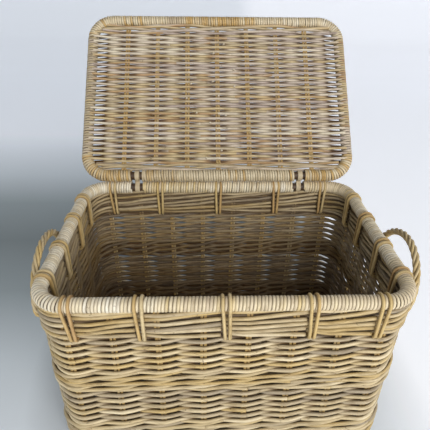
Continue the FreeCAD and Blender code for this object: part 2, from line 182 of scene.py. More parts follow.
# ---------------------------------------------------------------- canes


def smooth(values, low, high):
    t = np.clip((values - low) / (high - low), 0, 1)
    return t * t * (3 - 2 * t)


# no painted shade anywhere on the piece
def no_painted_shade(points):
    return np.ones(len(points))


def unit(vector):
    return vector / np.linalg.norm(vector)


# painted shade on the wall: the share of colour kept on its inner face, and more of it in the border under
# the rim
INNER_FACE_UNSHADED = 0.4
BORDER_LESS_SHADE = 0.3
# a cane's last ring, as a share of its radius, and how far it is pushed out
TIP = 0.72
TIP_LENGTH = 0.35


def wall_painted_shade(points):
    """Painted shade: 1 on the outer face of the wall, less between its rods and on its inner face,
    and least towards the bottom, where the inside of the hamper lies in shade."""
    past = np.abs(points[:, :2]) - (HALF_X - CORNER, HALF_Y - CORNER)
    out = np.linalg.norm(np.maximum(past, 0), axis=1) + np.minimum(past.max(1), 0) - CORNER
    height = points[:, 2]
    inner = INNER_FACE_UNSHADED * (0.45 + 0.55 * smooth(height, 0.08, 0.27))
    inner = inner + BORDER_LESS_SHADE * smooth(height, 0.28, 0.3)
    return 1 - (1 - inner) * smooth(-out, -4.5 * MM, 0.5 * MM)


class Canes:
    """Many canes swept into one mesh, with what the materials need to know about each."""

    # each piece is given its painted shade by place, and painted shade on the two edges of each cane where it
    # meets its neighbours
    def __init__(self, sides=8, unshaded_share=no_painted_shade, edge_shade_depth=(0.5, 0.5)):
        self.sides = sides
        self.unshaded_share = unshaded_share
        self.edge_shade_depth = edge_shade_depth
        self.points, self.skins, self.tints, self.edges = [], [], [], []
        self.quads, self.caps = [], []
        self.count = 0

    def add(self, points, radius, across, tint=None, flat=1.0, closed=False, stands=1.0, lit=1.0):
        """Sweep one cane. across is a direction square to it, and flat its thickness over its width.
        stands is 1 where it passes in front of its neighbours and -1 where it goes behind them; the side it
        turns behind them gets painted shade.
        lit is less than 1 for a cane deep in the weave, and paints shade over all of it."""
        points = np.asarray(points, float)
        count = len(points)
        across = np.broadcast_to(np.asarray(across, float), (count, 3))
        width = np.broadcast_to(radius, (count,)).astype(float)
        tone = np.broadcast_to(draw.uniform() if tint is None else tint, (count,))
        flat = np.broadcast_to(flat, (count,))
        stands = np.broadcast_to(stands, (count,))
        if not closed:
            points = self._rounded_tips(points, width)
            across, width, tone, flat, stands = (
                np.concatenate([x[:1], x, x[-1:]]) for x in (across, width, tone, flat, stands)
            )
            width[[0, -1]] *= TIP
        size = len(points)
        if closed:
            ahead, behind = np.roll(points, -1, 0), np.roll(points, 1, 0)
            tangent = ahead - behind
        else:
            tangent = np.gradient(points, axis=0)
        tangent /= np.linalg.norm(tangent, axis=1)[:, None]
        first = across - (across * tangent).sum(1)[:, None] * tangent
        first /= np.linalg.norm(first, axis=1)[:, None]
        second = np.cross(tangent, first)
        turn = np.arange(self.sides) * 2 * math.pi / self.sides
        ring = (
            np.cos(turn)[None, :, None] * first[:, None, :]
            + flat[:, None, None] * np.sin(turn)[None, :, None] * second[:, None, :]
        )
        rings = points[:, None, :] + width[:, None, None] * ring
        steps = np.linalg.norm(np.diff(points, axis=0), axis=1)
        along = np.concatenate([[0], np.cumsum(steps)])
        start = draw.uniform(0, 9, 3)
        skin = np.zeros((size, self.sides, 3))
        skin[:, :, 0] = start[0] + along[:, None]
        skin[:, :, 1] = start[1] + width[:, None] * np.cos(turn)
        skin[:, :, 2] = start[2] + width[:, None] * np.sin(turn)
        self.points.append(rings.reshape(-1, 3))
        self.skins.append(skin.reshape(-1, 3))
        self.tints.append(np.repeat(tone, self.sides))
        # painted shade on the two edges of the cane that face its neighbours: the across side by the first
        # share, the other by the second
        edge_shade = np.where(np.cos(turn) > 0, *self.edge_shade_depth) * np.abs(np.cos(turn)) ** 3
        # painted shade over the whole of a cane deep in the weave, and on the side it turns behind its
        # neighbours
        free = np.full((size, self.sides), lit)
        if np.ptp(stands) > 0:
            free = free * smooth(stands[:, None] * np.sin(turn), -0.75, -0.05)
        self.edges.append(((1 - edge_shade) * free).ravel())
        self._faces(size, closed)

    @staticmethod
    def _rounded_tips(points, width):
        """The ends, pushed out a little so that the last ring can be smaller."""
        first = points[0] + unit(points[0] - points[1]) * width[0] * TIP_LENGTH
        last = points[-1] + unit(points[-1] - points[-2]) * width[-1] * TIP_LENGTH
        return np.vstack([first, points, last])

    def _faces(self, size, closed):
        sides = self.sides
        rows = size if closed else size - 1
        row = np.arange(rows)[:, None]
        col = np.arange(sides)[None, :]
        after = (row + 1) % size
        beside = (col + 1) % sides
        corners = (row * sides + col, row * sides + beside, after * sides + beside, after * sides + col)
        quad = np.stack(corners, -1)
        self.quads.append(self.count + quad.reshape(-1, 4))
        if not closed:
            self.caps.append(self.count + np.arange(sides)[::-1])
            self.caps.append(self.count + (size - 1) * sides + np.arange(sides))
        self.count += size * sides

    def build(self, name, body, material, slot, *nodes):
        """Make the mesh, ride it on its body and let it stand for its CAD nodes."""
        quads = np.concatenate(self.quads)
        caps = np.array(self.caps, int).reshape(-1, self.sides)
        mesh = bpy.data.meshes.new(name)
        mesh.vertices.add(self.count)
        points = np.concatenate(self.points)
        mesh.vertices.foreach_set("co", points.astype(np.float32).ravel())
        corners = np.concatenate([quads.ravel(), caps.ravel()])
        mesh.loops.add(len(corners))
        mesh.loops.foreach_set("vertex_index", corners.astype(np.int32))
        starts = np.concatenate([np.arange(len(quads)) * 4, quads.size + np.arange(len(caps)) * self.sides])
        mesh.polygons.add(len(starts))
        mesh.polygons.foreach_set("loop_start", starts.astype(np.int32))
        mesh.update(calc_edges=True)
        mesh.validate()
        skin = mesh.attributes.new("skin", "FLOAT_VECTOR", "POINT")
        skin.data.foreach_set("vector", np.concatenate(self.skins).astype(np.float32).ravel())
        tint = mesh.attributes.new("tint", "FLOAT", "POINT")
        tint.data.foreach_set("value", np.concatenate(self.tints).astype(np.float32))
        # the open attribute is the share of colour each point keeps from painted shade; the materials darken
        # the rest
        unshaded_share = mesh.attributes.new("open", "FLOAT", "POINT")
        unshaded = self.unshaded_share(points) * np.concatenate(self.edges)
        unshaded_share.data.foreach_set("value", unshaded.astype(np.float32))
        cut = mesh.attributes.new("cut", "FLOAT", "FACE")
        cut.data.foreach_set("value", np.repeat([0.0, 1.0], [len(quads), len(caps)]).astype(np.float32))
        mesh.shade_smooth()
        mesh.set_sharp_from_angle(angle=math.radians(55))
        mesh.materials.append(material)
        piece = bpy.data.objects.new(name, mesh)
        bpy.context.scene.collection.objects.link(piece)
        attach(piece, body)
        if nodes:
            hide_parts(*nodes)
        return piece


# ---------------------------------------------------------------- materials


def srgb(red, green, blue):
    """Linear colour of an 8-bit sRGB one."""
    values = []
    for value in (red, green, blue):
        share = value / 255
        values.append(share / 12.92 if share <= 0.04045 else ((share + 0.055) / 1.055) ** 2.4)
    return (*values, 1.0)


class Nodes:
    """Short ways to wire a material."""

    def __init__(self, name):
        self.material = bpy.data.materials.new(name)
        self.material.use_nodes = True
        self.tree = self.material.node_tree
        self.shader = self.tree.nodes["Principled BSDF"]

    def new(self, kind, **settings):
        made = self.tree.nodes.new(kind)
        for key, setting in settings.items():
            setattr(made, key, setting)
        return made

    def link(self, source, target):
        self.tree.links.new(source, target)

    def math(self, operation, first, second=None):
        made = self.new("ShaderNodeMath", operation=operation)
        for socket, given in zip(made.inputs, (first, second)):
            if isinstance(given, bpy.types.NodeSocket):
                self.link(given, socket)
            elif given is not None:
                socket.default_value = given
        return made.outputs[0]

    def attribute(self, name, output="Fac"):
        return self.new("ShaderNodeAttribute", attribute_name=name).outputs[output]

    def ramp(self, factor, stops, interpolation="LINEAR"):
        made = self.new("ShaderNodeValToRGB")
        made.color_ramp.interpolation = interpolation
        elements = made.color_ramp.elements
        while len(elements) < len(stops):
            elements.new(0.5)
        for element, (position, colour) in zip(elements, stops):
            element.position = position
            element.color = colour
        self.link(factor, made.inputs[0])
        return made.outputs[0]

    def noise(self, vector, scale, stretch=(1, 1, 1), detail=2.0):
        mapping = self.new("ShaderNodeMapping")
        mapping.inputs["Scale"].default_value = [scale * share for share in stretch]
        self.link(vector, mapping.inputs["Vector"])
        made = self.new("ShaderNodeTexNoise")
        made.inputs["Scale"].default_value = 1.0
        made.inputs["Detail"].default_value = detail
        self.link(mapping.outputs[0], made.inputs["Vector"])
        return made.outputs["Fac"]

    def spread(self, factor, low, high, from_low=0.0, from_high=1.0):
        made = self.new("ShaderNodeMapRange")
        made.inputs["From Min"].default_value = from_low
        made.inputs["From Max"].default_value = from_high
        made.inputs["To Min"].default_value = low
        made.inputs["To Max"].default_value = high
        self.link(factor, made.inputs["Value"])
        return made.outputs[0]

    def mix(self, factor, first, second, blend="MIX"):
        made = self.new("ShaderNodeMix", data_type="RGBA", blend_type=blend)
        if isinstance(factor, bpy.types.NodeSocket):
            self.link(factor, made.inputs["Factor"])
        else:
            made.inputs["Factor"].default_value = factor
        for socket, given in ((made.inputs["A"], first), (made.inputs["B"], second)):
            if isinstance(given, bpy.types.NodeSocket):
                self.link(given, socket)
            else:
                socket.default_value = given
        return made.outputs["Result"]


GREY = srgb(174, 159, 134)
MAUVE = srgb(190, 173, 161)
PALE_MAUVE = srgb(222, 207, 188)
TAN_GREY = srgb(200, 182, 148)
TAN = srgb(218, 197, 152)
OCHRE = srgb(212, 184, 124)
BROWN = srgb(192, 156, 112)
CREAM = srgb(238, 221, 184)
PITH = srgb(235, 224, 200)
DARK = srgb(96, 66, 38)
# painted shade colour, multiplied in where a cane is shaded by its neighbours, inside the hamper or deep in
# the weave
CREVICE_SHADE = (0.15, 0.085, 0.025, 1)
MOTTLE_STOPS = [(0.28, (0.70, 0.66, 0.60, 1)), (0.5, (1, 1, 1, 1)), (0.75, (1.06, 1.05, 1.02, 1))]


def cane_material(name, stops, knots=5.0, gloss=0.45, grain=0.12):
    """Rattan skin. stops colour the canes by tint; knots is leaf rings per metre."""
    n = Nodes(name)
    skin = n.attribute("skin", "Vector")
    tint = n.attribute("tint")
    patches = n.noise(skin, 1.0, (9, 60, 60))
    mixed = n.math("ADD", tint, n.spread(patches, -0.16, 0.16, 0.3, 0.7))
    colour = n.ramp(mixed, stops)
    mottle = n.noise(skin, 1.0, (45, 220, 220), 3.0)
    shade = n.ramp(mottle, MOTTLE_STOPS)
    colour = n.mix(1.0, colour, shade, "MULTIPLY")
    fibres = n.noise(skin, 1.0, (60, 2600, 2600), 2.0)
    streak = (1 - grain * 2, 1 - grain * 2.1, 1 - grain * 2.3, 1)
    streaks = n.ramp(fibres, [(0.3, streak), (0.6, (1, 1, 1, 1))])
    colour = n.mix(1.0, colour, streaks, "MULTIPLY")
    split = n.new("ShaderNodeSeparateXYZ")
    n.link(skin, split.inputs[0])
    place = n.math("ADD", n.math("MULTIPLY", split.outputs[0], knots), n.math("MULTIPLY", patches, 1.2))
    away = n.math("ABSOLUTE", n.math("SUBTRACT", n.math("FRACT", place), 0.5))
    knot = n.spread(away, 1.0, 0.0, 0.0, 0.0018 * knots)
    colour = n.mix(n.math("MULTIPLY", knot, 0.8), colour, DARK)
    # painted shade: where open is low the colour is multiplied by the crevice shade colour
    colour = n.mix(n.attribute("open"), n.mix(1.0, colour, CREVICE_SHADE, "MULTIPLY"), colour)
    cut = n.attribute("cut")
    colour = n.mix(n.math("MULTIPLY", cut, 0.75), colour, PITH)
    n.link(colour, n.shader.inputs["Base Color"])
    n.link(n.spread(mottle, gloss + 0.18, gloss - 0.02), n.shader.inputs["Roughness"])
    n.shader.inputs["Specular IOR Level"].default_value = 0.45
    height = n.math("ADD", n.math("MULTIPLY", fibres, 0.5), n.math("MULTIPLY", knot, 0.8))
    bump = n.new("ShaderNodeBump")
    bump.inputs["Strength"].default_value = 0.5
    bump.inputs["Distance"].default_value = 0.0004
    n.link(height, bump.inputs["Height"])
    n.link(bump.outputs[0], n.shader.inputs["Normal"])
    return n.material


def pole_material(name, stops):
    """Bare pole for the CAD rods that stay, in object coordinates."""
    n = Nodes(name)
    place = n.new("ShaderNodeTexCoord").outputs["Object"]
    patches = n.noise(place, 22, detail=3.0)
    colour = n.ramp(patches, stops)
    specks = n.noise(place, 420, detail=2.0)
    speckle = n.ramp(specks, [(0.3, (0.75, 0.72, 0.68, 1)), (0.6, (1, 1, 1, 1))])
    colour = n.mix(1.0, colour, speckle, "MULTIPLY")
    n.link(colour, n.shader.inputs["Base Color"])
    n.link(n.spread(specks, 0.62, 0.45), n.shader.inputs["Roughness"])
    bump = n.new("ShaderNodeBump")
    bump.inputs["Strength"].default_value = 0.4
    bump.inputs["Distance"].default_value = 0.0005
    n.link(specks, bump.inputs["Height"])
    n.link(bump.outputs[0], n.shader.inputs["Normal"])
    return n.material


WALL_STOPS = [(0.0, GREY), (0.18, TAN_GREY), (0.5, TAN), (0.68, OCHRE), (0.8, TAN), (1.0, CREAM)]
LID_STOPS = [
    (0.0, MAUVE), (0.26, PALE_MAUVE), (0.5, TAN_GREY), (0.66, TAN), (0.77, BROWN), (0.85, PALE_MAUVE),
    (1.0, PITH),
]
WRAP_STOPS = [
    (0.0, srgb(208, 190, 160)), (0.25, srgb(224, 206, 170)), (0.42, srgb(214, 176, 108)),
    (0.6, srgb(238, 224, 192)), (0.8, srgb(226, 208, 172)), (1.0, srgb(244, 232, 206)),
]
RIM_STOPS = [
    (0.0, srgb(226, 208, 178)), (0.25, srgb(240, 224, 190)), (0.42, srgb(232, 208, 154)),
    (0.6, srgb(250, 240, 214)), (0.8, srgb(240, 224, 190)), (1.0, srgb(254, 246, 226)),
]
STAKE_STOPS = [(0.0, TAN), (0.5, srgb(222, 186, 118)), (1.0, srgb(232, 202, 140))]
TIE_STOPS = [(0.0, TAN), (0.5, OCHRE), (1.0, srgb(196, 160, 108))]
# painted shade: the rim and lid poles show only in the gaps of their wraps and are painted dark brown as if
# in shade
SHADED_POLE_STOPS = [(0.3, srgb(58, 42, 30)), (0.55, srgb(84, 64, 46)), (0.8, srgb(106, 84, 60))]
BARE_POLE_STOPS = [(0.3, srgb(150, 130, 98)), (0.55, srgb(182, 160, 120)), (0.8, srgb(204, 184, 142))]
HANDLE_STOPS = [(0.0, TAN_GREY), (0.5, TAN), (1.0, OCHRE)]

wall_cane = cane_material("wall_cane", WALL_STOPS)
lid_cane = cane_material("lid_cane", LID_STOPS)
wrap_cane = cane_material("wrap_cane", WRAP_STOPS, knots=2.0, gloss=0.4)
rim_cane = cane_material("rim_cane", RIM_STOPS, knots=2.0, gloss=0.4)
stake_cane = cane_material("stake_cane", STAKE_STOPS)
tie_cane = cane_material("tie_cane", TIE_STOPS, knots=3.0)
handle_cane = cane_material("handle_cane", HANDLE_STOPS, knots=4.0)
shaded_pole = pole_material("shaded_pole", SHADED_POLE_STOPS)
bare_pole = pole_material("bare_pole", BARE_POLE_STOPS)

# ---------------------------------------------------------------- stakes

STAKE_R = 2.4 * MM
STAKE_HALF_GAP = 2.8 * MM
stake_low, stake_high = band("front_stakes")
FACE_STAKES = {"front": range(-4, 4), "right": range(4, 9), "back": range(9, 17), "left": range(17, 22)}
for face, indices in FACE_STAKES.items():
    canes = Canes()
    heights = np.linspace(stake_low, stake_high, 24)
    for index in indices:
        for side in (-1, 1):
            s = (index + 0.5) * STAKE_PITCH + side * STAKE_HALF_GAP
            spots = s + wander(len(heights), 0.35 * MM)
            out = wander(len(heights), 0.25 * MM)
            radius = STAKE_R * draw.uniform(0.92, 1.05)
            canes.add(on_wall(spots, out, heights), radius, wall_normal(spots))
    canes.build(f"{face}_stake_canes", "basket", stake_cane, "stake_rattan", f"{face}_stakes")

# ---------------------------------------------------------------- walls

WALL_SWING = 5.8 * MM
POINTS_A_STAKE = 10
SEAM = rim.left(0.0)
# radius of a rod over the height it is given, in the weave of two rods and the wale of three
ROD_SHARE = {2: 0.47, 3: 0.45}
ROD_WANDER = {2: 0.25 * MM, 3: 1.1 * MM}
# the long rods of the wale and the border get a little more painted shade than the weave
ROD_LIT = {2: 0.98, 3: 0.85}
BORDER_LIT = 0.84
# in stakes: where the splices are from a stake, and how far a new cane starts after the old one
SPLICE_SHIFT = 0.03
SPLICE_GAP = 0.03
SPLICE_STAKES = (6, 17)
LAST_STAKES = 5
# towards the back the weave is tighter: less swing, and thicker rods, most of all outside
TIGHT_SWING = 0.25
TIGHT_R = 0.14
TIGHT_R_OUTSIDE = 0.3


def climb_of(u, rods):
    """How many rods up a cane is. It climbs in front of its stakes and drops behind the last."""
    first, last = rods / 2 - 1.0, rods - 1.5
    climb = np.interp(u, [0, 0.5, rods - 0.5, rods], [first, -0.5, last, first])
    if rods > 2:
        return climb
    past = np.mod(u + 0.5, 1) - 0.5
    front = 0.5 * past + 2 * past**3
    return np.where(np.abs(u - 1) <= 0.5, front, -front)


def waling(canes, height, rods, rod_pitch, rod_radius):
    """One round of a weave of two or more rods. Each goes in front of all stakes of its turn but one.

    Seen from outside every rod climbs to the right by one rod for each stake it covers, then
    drops behind the last stake."""
    beats = STAKES_ROUND
    for rod in range(rods):
        # a rod starts at the seam and is spliced every few stakes
        start = 0
        while start < beats:
            span = int(draw.integers(*SPLICE_STAKES))
            stop = min(beats, start + span)
            if beats - stop < LAST_STAKES:
                stop = beats
            count = (stop - start) * POINTS_A_STAKE + 1
            beat = np.linspace(start, stop, count) + SPLICE_SHIFT
            beat[0] += SPLICE_GAP
            u = np.mod(beat + rod, rods)
            near = np.minimum(u, rods - u)
            close = np.clip(near, 0, 1)
            swing = -(0.35 * np.cos(math.pi * close) + 0.65 * (1 - 2 * close))
            climb = climb_of(u, rods)
            z = height + rod_pitch * (climb + 0.5) + wander(count, ROD_WANDER[rods])
            s = SEAM + beat * STAKE_PITCH
            tight = smooth(rim.at(s)[0][:, 1], 0.02, 0.16)
            reach = WALL_SWING * (1 - TIGHT_SWING * tight)
            out = reach * swing * draw.uniform(0.94, 1.03) + wander(count, 0.2 * MM)
            radius = rod_radius * (draw.uniform(0.94, 1.06) + wander(count, 0.02))
            radius = radius * (1 + tight * (TIGHT_R + TIGHT_R_OUTSIDE * np.clip(swing, 0, 1)))
            # painted shade on the side of each rod turned behind the stakes, and a little over the long wale
            # rods
            canes.add(on_wall(s, out, z), radius, UP, stands=swing, lit=ROD_LIT[rods])
            start = stop


def weave_band(name, node, rounds, rods, high_share):
    """Fill a CAD band of the wall with rounds of weave. high_share is rods seen on top of each other."""
    low, high = band(node)
    round_pitch = (high - low) / rounds
    rod_pitch = round_pitch / high_share
    # painted shade on the rods' undersides, between the rods, on the inner face and towards the bottom
    canes = Canes(unshaded_share=wall_painted_shade, edge_shade_depth=(0.1, 0.75))
    for level in range(rounds):
        waling(canes, low + level * round_pitch + rod_pitch / 2, rods, rod_pitch, rod_pitch * ROD_SHARE[rods])
    canes.build(name, "basket", wall_cane, "weave_rattan", node)


weave_band("upper_weave_canes", "upper_weave", 6, 2, 2)
weave_band("middle_wale_canes", "middle_wale", 3, 3, 2)
weave_band("lower_weave_canes", "lower_weave", 6, 2, 2)
weave_band("bottom_wale_canes", "bottom_wale", 3, 3, 2)

# ---------------------------------------------------------------- border under the rim

BORDER_R = 3.5 * MM
# level rods hidden in the middle of the wall, which the slanted ones are pushed against
CORE_R = 2.3 * MM
CORE_PITCH = 4.7 * MM
# the core rods get heavy painted shade, deep in the wall
CORE_LIT = 0.2
tie_places = sorted(
    [rim.front(x) % rim.length for x in FRONT_TIES]
    + [rim.right(y) for y in SIDE_TIES]
    + [rim.back(x) for x in FRONT_TIES]
    + [rim.left(y) for y in SIDE_TIES]
)
# heights above the band's foot where the rods of a bay leave and where they end
BORDER_STARTS = np.array([43.0, 31.0, 20.5, 12.0, 5.0, 2.5]) * MM
BORDER_ENDS = np.array([54.5, 47.0, 37.0, 26.0, 14.0, 3.0]) * MM


def border_bay(canes, first, last, side):
    """The rods between two ties, on the outside (side 1) or the inside (side -1)."""
    low, _ = band("border_rods")
    if side < 0:
        first, last = last, first
    way = 1 if last > first else -1
    starts = BORDER_STARTS + draw.normal(0, 1.6 * MM, len(BORDER_STARTS))
    ends = BORDER_ENDS + draw.normal(0, 1.6 * MM, len(BORDER_ENDS))
    for start_z, end_z in zip(starts, ends):
        near = first - way * draw.uniform(2, 7) * MM
        far = last - way * draw.uniform(6.5, 10) * MM
        s = np.linspace(near, far, 18)
        share = np.linspace(0, 1, 18)
        z = low + start_z + (end_z - start_z) * share + wander(18, 0.7 * MM)
        out = side * (0.2 * MM + 5.6 * MM * np.clip(share * 3.2, 0, 1)) + wander(18, 0.3 * MM)
        radius = BORDER_R * draw.uniform(0.88, 1.04) * np.linspace(0.86, 1.0, 18)
        canes.add(on_wall(s, out, z), radius, UP, lit=BORDER_LIT)


# painted shade on the rods' undersides, between the rods and on the inner face, as in the weave
border = Canes(unshaded_share=wall_painted_shade, edge_shade_depth=(0.1, 0.75))
border_low, border_high = band("border_rods")
core_s = np.arange(0, rim.length, 5 * MM)
for core_z in np.arange(border_low - 6 * MM, border_high - 2 * MM, CORE_PITCH):
    border.add(on_wall(core_s, -1.0 * MM, core_z), CORE_R, UP, tint=0.1, closed=True, lit=CORE_LIT)
for place, following in zip(tie_places, tie_places[1:] + [tie_places[0] + rim.length]):
    for side in (1, -1):
        border_bay(border, place, following, side)
border.build("border_canes", "basket", wall_cane, "weave_rattan", "border_rods")

# ---------------------------------------------------------------- wrapped poles

WRAP_PITCH = 5.4 * MM
WRAP_HALF_WIDTH = 2.6 * MM
WRAP_FLAT = 0.5
# the canes stand a little proud, and at the hinge the two wrapped poles all but touch
WRAP_PROUD = 0.55 * MM
WRAP_PROUD_HINGE = (HINGE_Z - RIM_Z) / 2 - WRAP_R - 0.5 * MM
# painted shade on both edges of each wrap cane, in the grooves between its turns
WRAP_EDGE_SHADE = (0.65, 0.65)
POINTS_A_TURN = 12
TURNS_A_CANE = 38
OCHRE_TINT = 0.42


def wrapping(canes, first, last, place, pitch=WRAP_PITCH, half_width=WRAP_HALF_WIDTH, ochre=None):
    """Cane wound round a pole from distance first to last. place gives the pole's centre,
    its sideways direction and its other square direction there. ochre is a stretch of yellower cane."""
    turns = max(2, round((last - first) / pitch))
    step = (last - first) / turns
    done = 0
    while done < turns:
        size = min(TURNS_A_CANE + int(draw.integers(-12, 12)), turns - done)
        if turns - done - size < 6:
            size = turns - done
        count = size * POINTS_A_TURN + 1
        turn = np.linspace(done, done + size, count)
        jitter = draw.normal(0, 0.05, turns + 2)
        s = first + step * (turn + np.interp(turn, np.arange(turns + 2), jitter))
        s = np.clip(s, first + half_width, last - half_width)
        centre, side, other = place(s)
        angle = 2 * math.pi * turn + math.pi
        from_hinge = np.linalg.norm(centre[:, 1:] - (HINGE_Y, (HINGE_Z + RIM_Z) / 2), axis=1)
        proud = WRAP_PROUD_HINGE + (WRAP_PROUD - WRAP_PROUD_HINGE) * smooth(from_hinge, 20 * MM, 70 * MM)
        reach = WRAP_R + proud - half_width * WRAP_FLAT + wander(count, 0.12 * MM)
        points = centre + reach[:, None] * (np.cos(angle)[:, None] * side + np.sin(angle)[:, None] * other)
        base = draw.uniform(0.1, 0.9)
        own = base + draw.normal(0, 0.07, size + 2)
        tint = np.clip(np.interp(turn - done, np.arange(size + 2), own), 0, 1)
        if ochre:
            tint = np.where((s > ochre[0]) & (s < ochre[1]), OCHRE_TINT + 0.15 * (tint - 0.5), tint)
        canes.add(points, half_width, np.cross(side, other), tint, WRAP_FLAT)
        done += size


def rim_place(s):
    return on_wall(s, 0.0, RIM_Z), wall_normal(s), np.broadcast_to(UP, (len(s), 3))


def lid_place(s):
    point, normal = lid_ring.at(s)
    centre = on_lid(point[:, 0], LID_REACH / 2 - point[:, 1], 0.0)
    side = normal[:, :1] * ALONG_X - normal[:, 1:] * LID_OUT
    return centre, side, np.broadcast_to(LID_IN, (len(s), 3))


HINGE_GAP = 11.5 * MM

# the rim, between its hinge ties
rim_wrap = Canes(edge_shade_depth=WRAP_EDGE_SHADE)
right_hinge, left_hinge = rim.back(HINGE_TIES[1]), rim.back(HINGE_TIES[0])
wrapping(rim_wrap, left_hinge + HINGE_GAP - rim.length, right_hinge - HINGE_GAP, rim_place)
wrapping(rim_wrap, right_hinge + HINGE_GAP, left_hinge - HINGE_GAP, rim_place)
rim_wrap.build("rim_wrap_canes", "basket", rim_cane, "flat_cane", "rim_wrap")

# the lid's ring is walked from the middle of its front edge, which is its far edge from the hinge
lid_front = Canes(edge_shade_depth=WRAP_EDGE_SHADE)
lid_front_end = lid_ring.a + lid_ring.quarter
wrapping(lid_front, -lid_front_end, lid_front_end, lid_place, ochre=(-75 * MM, 95 * MM))
lid_front.build("lid_front_wrap_canes", "lid", wrap_cane, "flat_cane", "lid_front_wrap")

lid_back_wrap = Canes(edge_shade_depth=WRAP_EDGE_SHADE)
back_first = lid_front_end + 2 * lid_ring.b
back_last = lid_ring.length - back_first
right_gap, left_gap = lid_ring.back(HINGE_TIES[1]), lid_ring.back(HINGE_TIES[0])
wrapping(lid_back_wrap, back_first, right_gap - HINGE_GAP, lid_place)
wrapping(lid_back_wrap, right_gap + HINGE_GAP, left_gap - HINGE_GAP, lid_place)
wrapping(lid_back_wrap, left_gap + HINGE_GAP, back_last, lid_place)
lid_back_wrap.build("lid_back_wrap_canes", "lid", wrap_cane, "flat_cane", "lid_back_wrap")

for side, first in (("right", lid_front_end), ("left", back_last)):
    canes = Canes()
    wrapping(canes, first, first + 2 * lid_ring.b, lid_place, 5.8 * MM, 2.5 * MM)
    canes.build(f"lid_{side}_wrap_canes", "lid", lid_cane, "flat_cane", f"lid_{side}_wrap")

# ---------------------------------------------------------------- lid weave

LID_PAIRS = 7
LID_PITCH = 69.7 * MM
LID_BAND = 30 * MM
LID_SWING = 2.7 * MM
# a rod is pressed thicker behind the stakes than in front of them
LID_ROD_R = 2.95 * MM
LID_ROD_SWELL = 0.32
LID_ROD_DEPTH = 1.0
LID_ROD_DEEPER = 0.2
LID_ROW = 6.0 * MM
LID_SPLICE_GAP = 0.9 * MM
# how far a rod's end reaches over the side pole, where the wrap holds it down
LID_TUCK = 0.72
POLE_EDGE = LID_HALF_X - 4 * MM
LAST_PAIR = (LID_PAIRS - 1) / 2 * LID_PITCH

LID_STAKE_R = 2.75 * MM
lid_stakes = Canes()
for index in range(LID_PAIRS):
    for side in (-1, 1):
        x = (index - (LID_PAIRS - 1) / 2) * LID_PITCH + side * STAKE_HALF_GAP
        v = np.linspace(WRAP_R - 3 * MM, LID_REACH - WRAP_R + 3 * MM, 26)
        spots = x + wander(26, 0.35 * MM)
        lid_stakes.add(on_lid(spots, v, wander(26, 0.2 * MM)), LID_STAKE_R * draw.uniform(0.94, 1.06), LID_IN)
lid_stakes.build("lid_stake_canes", "lid", stake_cane, "stake_rattan", "lid_stakes")


def plain_swing(x, row):
    """Over and under the lid's pairs, and on round the side poles."""
    u = x / LID_PITCH + row
    close = np.abs(np.mod(u, 2) - 1)
    return 0.55 * np.cos(math.pi * close) + 0.45 * (1 - 2 * close)


def lid_row(canes, row, v, radius):
    x = np.linspace(-POLE_EDGE, POLE_EDGE, 73)
    swing = LID_SWING * plain_swing(x, row)
    past = np.clip((np.abs(x) - LAST_PAIR) / (POLE_EDGE - LAST_PAIR), 0, 1)
    last_side = np.sign(plain_swing(np.array([LAST_PAIR]), row))[0]
    end_side = -last_side
    over_pole = end_side * (POLE_R + radius) * LID_TUCK
    crossing = LID_SWING * last_side * np.cos(math.pi * np.clip(past * 1.25, 0, 1))
    lift = np.where(past > 0, crossing, swing)
    lift = np.where(past > 0.55, lift + (over_pole - lift) * np.clip((past - 0.55) / 0.35, 0, 1), lift)
    towards = -1 if row % 2 else 1
    drift = towards * 1.4 * MM * past**2
    shift = wander(len(x), 0.22 * MM)
    splice = int(draw.integers(20, 53))
    # where a rod goes behind the stakes, its hidden side gets painted shade
    stands = np.clip(lift / LID_SWING, -1, 1)
    behind = 0.5 - 0.5 * stands
    widths = radius * (draw.uniform(0.93, 1.06) + wander(len(x), 0.02)) * (1 + LID_ROD_SWELL * behind)
    depths = LID_ROD_DEPTH + LID_ROD_DEEPER * behind
    points = on_lid(x, v + drift + shift, lift)
    for part, shift in ((slice(0, splice + 1), 0.0), (slice(splice, None), LID_SPLICE_GAP)):
        canes.add(
            points[part] + ALONG_X * shift, widths[part], LID_OUT, flat=depths[part], stands=stands[part],
        )


PEG_CHANCE = 0.3
PEG_R = 2.2 * MM
PEG_LEAN = np.array([0, 1.6]) * MM
PEG_HEIGHTS = np.array([2.0, 6.5]) * MM
# painted shade on both edges of each lid rod, where it meets the rows beside it
lid_weave = Canes(edge_shade_depth=(0.5, 0.5))
weave_rows = round((LID_REACH - 2 * LID_BAND) / LID_ROW)
row_pitch = (LID_REACH - 2 * LID_BAND) / weave_rows
for row in range(weave_rows):
    lid_row(lid_weave, row, LID_BAND + (row + 0.5) * row_pitch, LID_ROD_R)
# cut ends of spliced rods, which stand out of the lid's inner side
for row in range(weave_rows):
    if draw.uniform() < PEG_CHANCE:
        x = draw.normal(0.3, 1.1) * LID_PITCH
        foot_and_tip = on_lid(x + PEG_LEAN, LID_BAND + (row + 0.5) * row_pitch, PEG_HEIGHTS)
        lid_weave.add(foot_and_tip, PEG_R, LID_OUT, tint=0.3)
lid_weave.build("lid_weave_canes", "lid", lid_cane, "weave_rattan", "lid_weave")


EDGE_RODS = 4
EDGE_ROD_R = 3.2 * MM
EDGE_ROD_FLAT = 1.3
EDGE_PITCH = 4.6 * MM
EDGE_SWING = 4.0 * MM
EDGE_END = 22 * MM


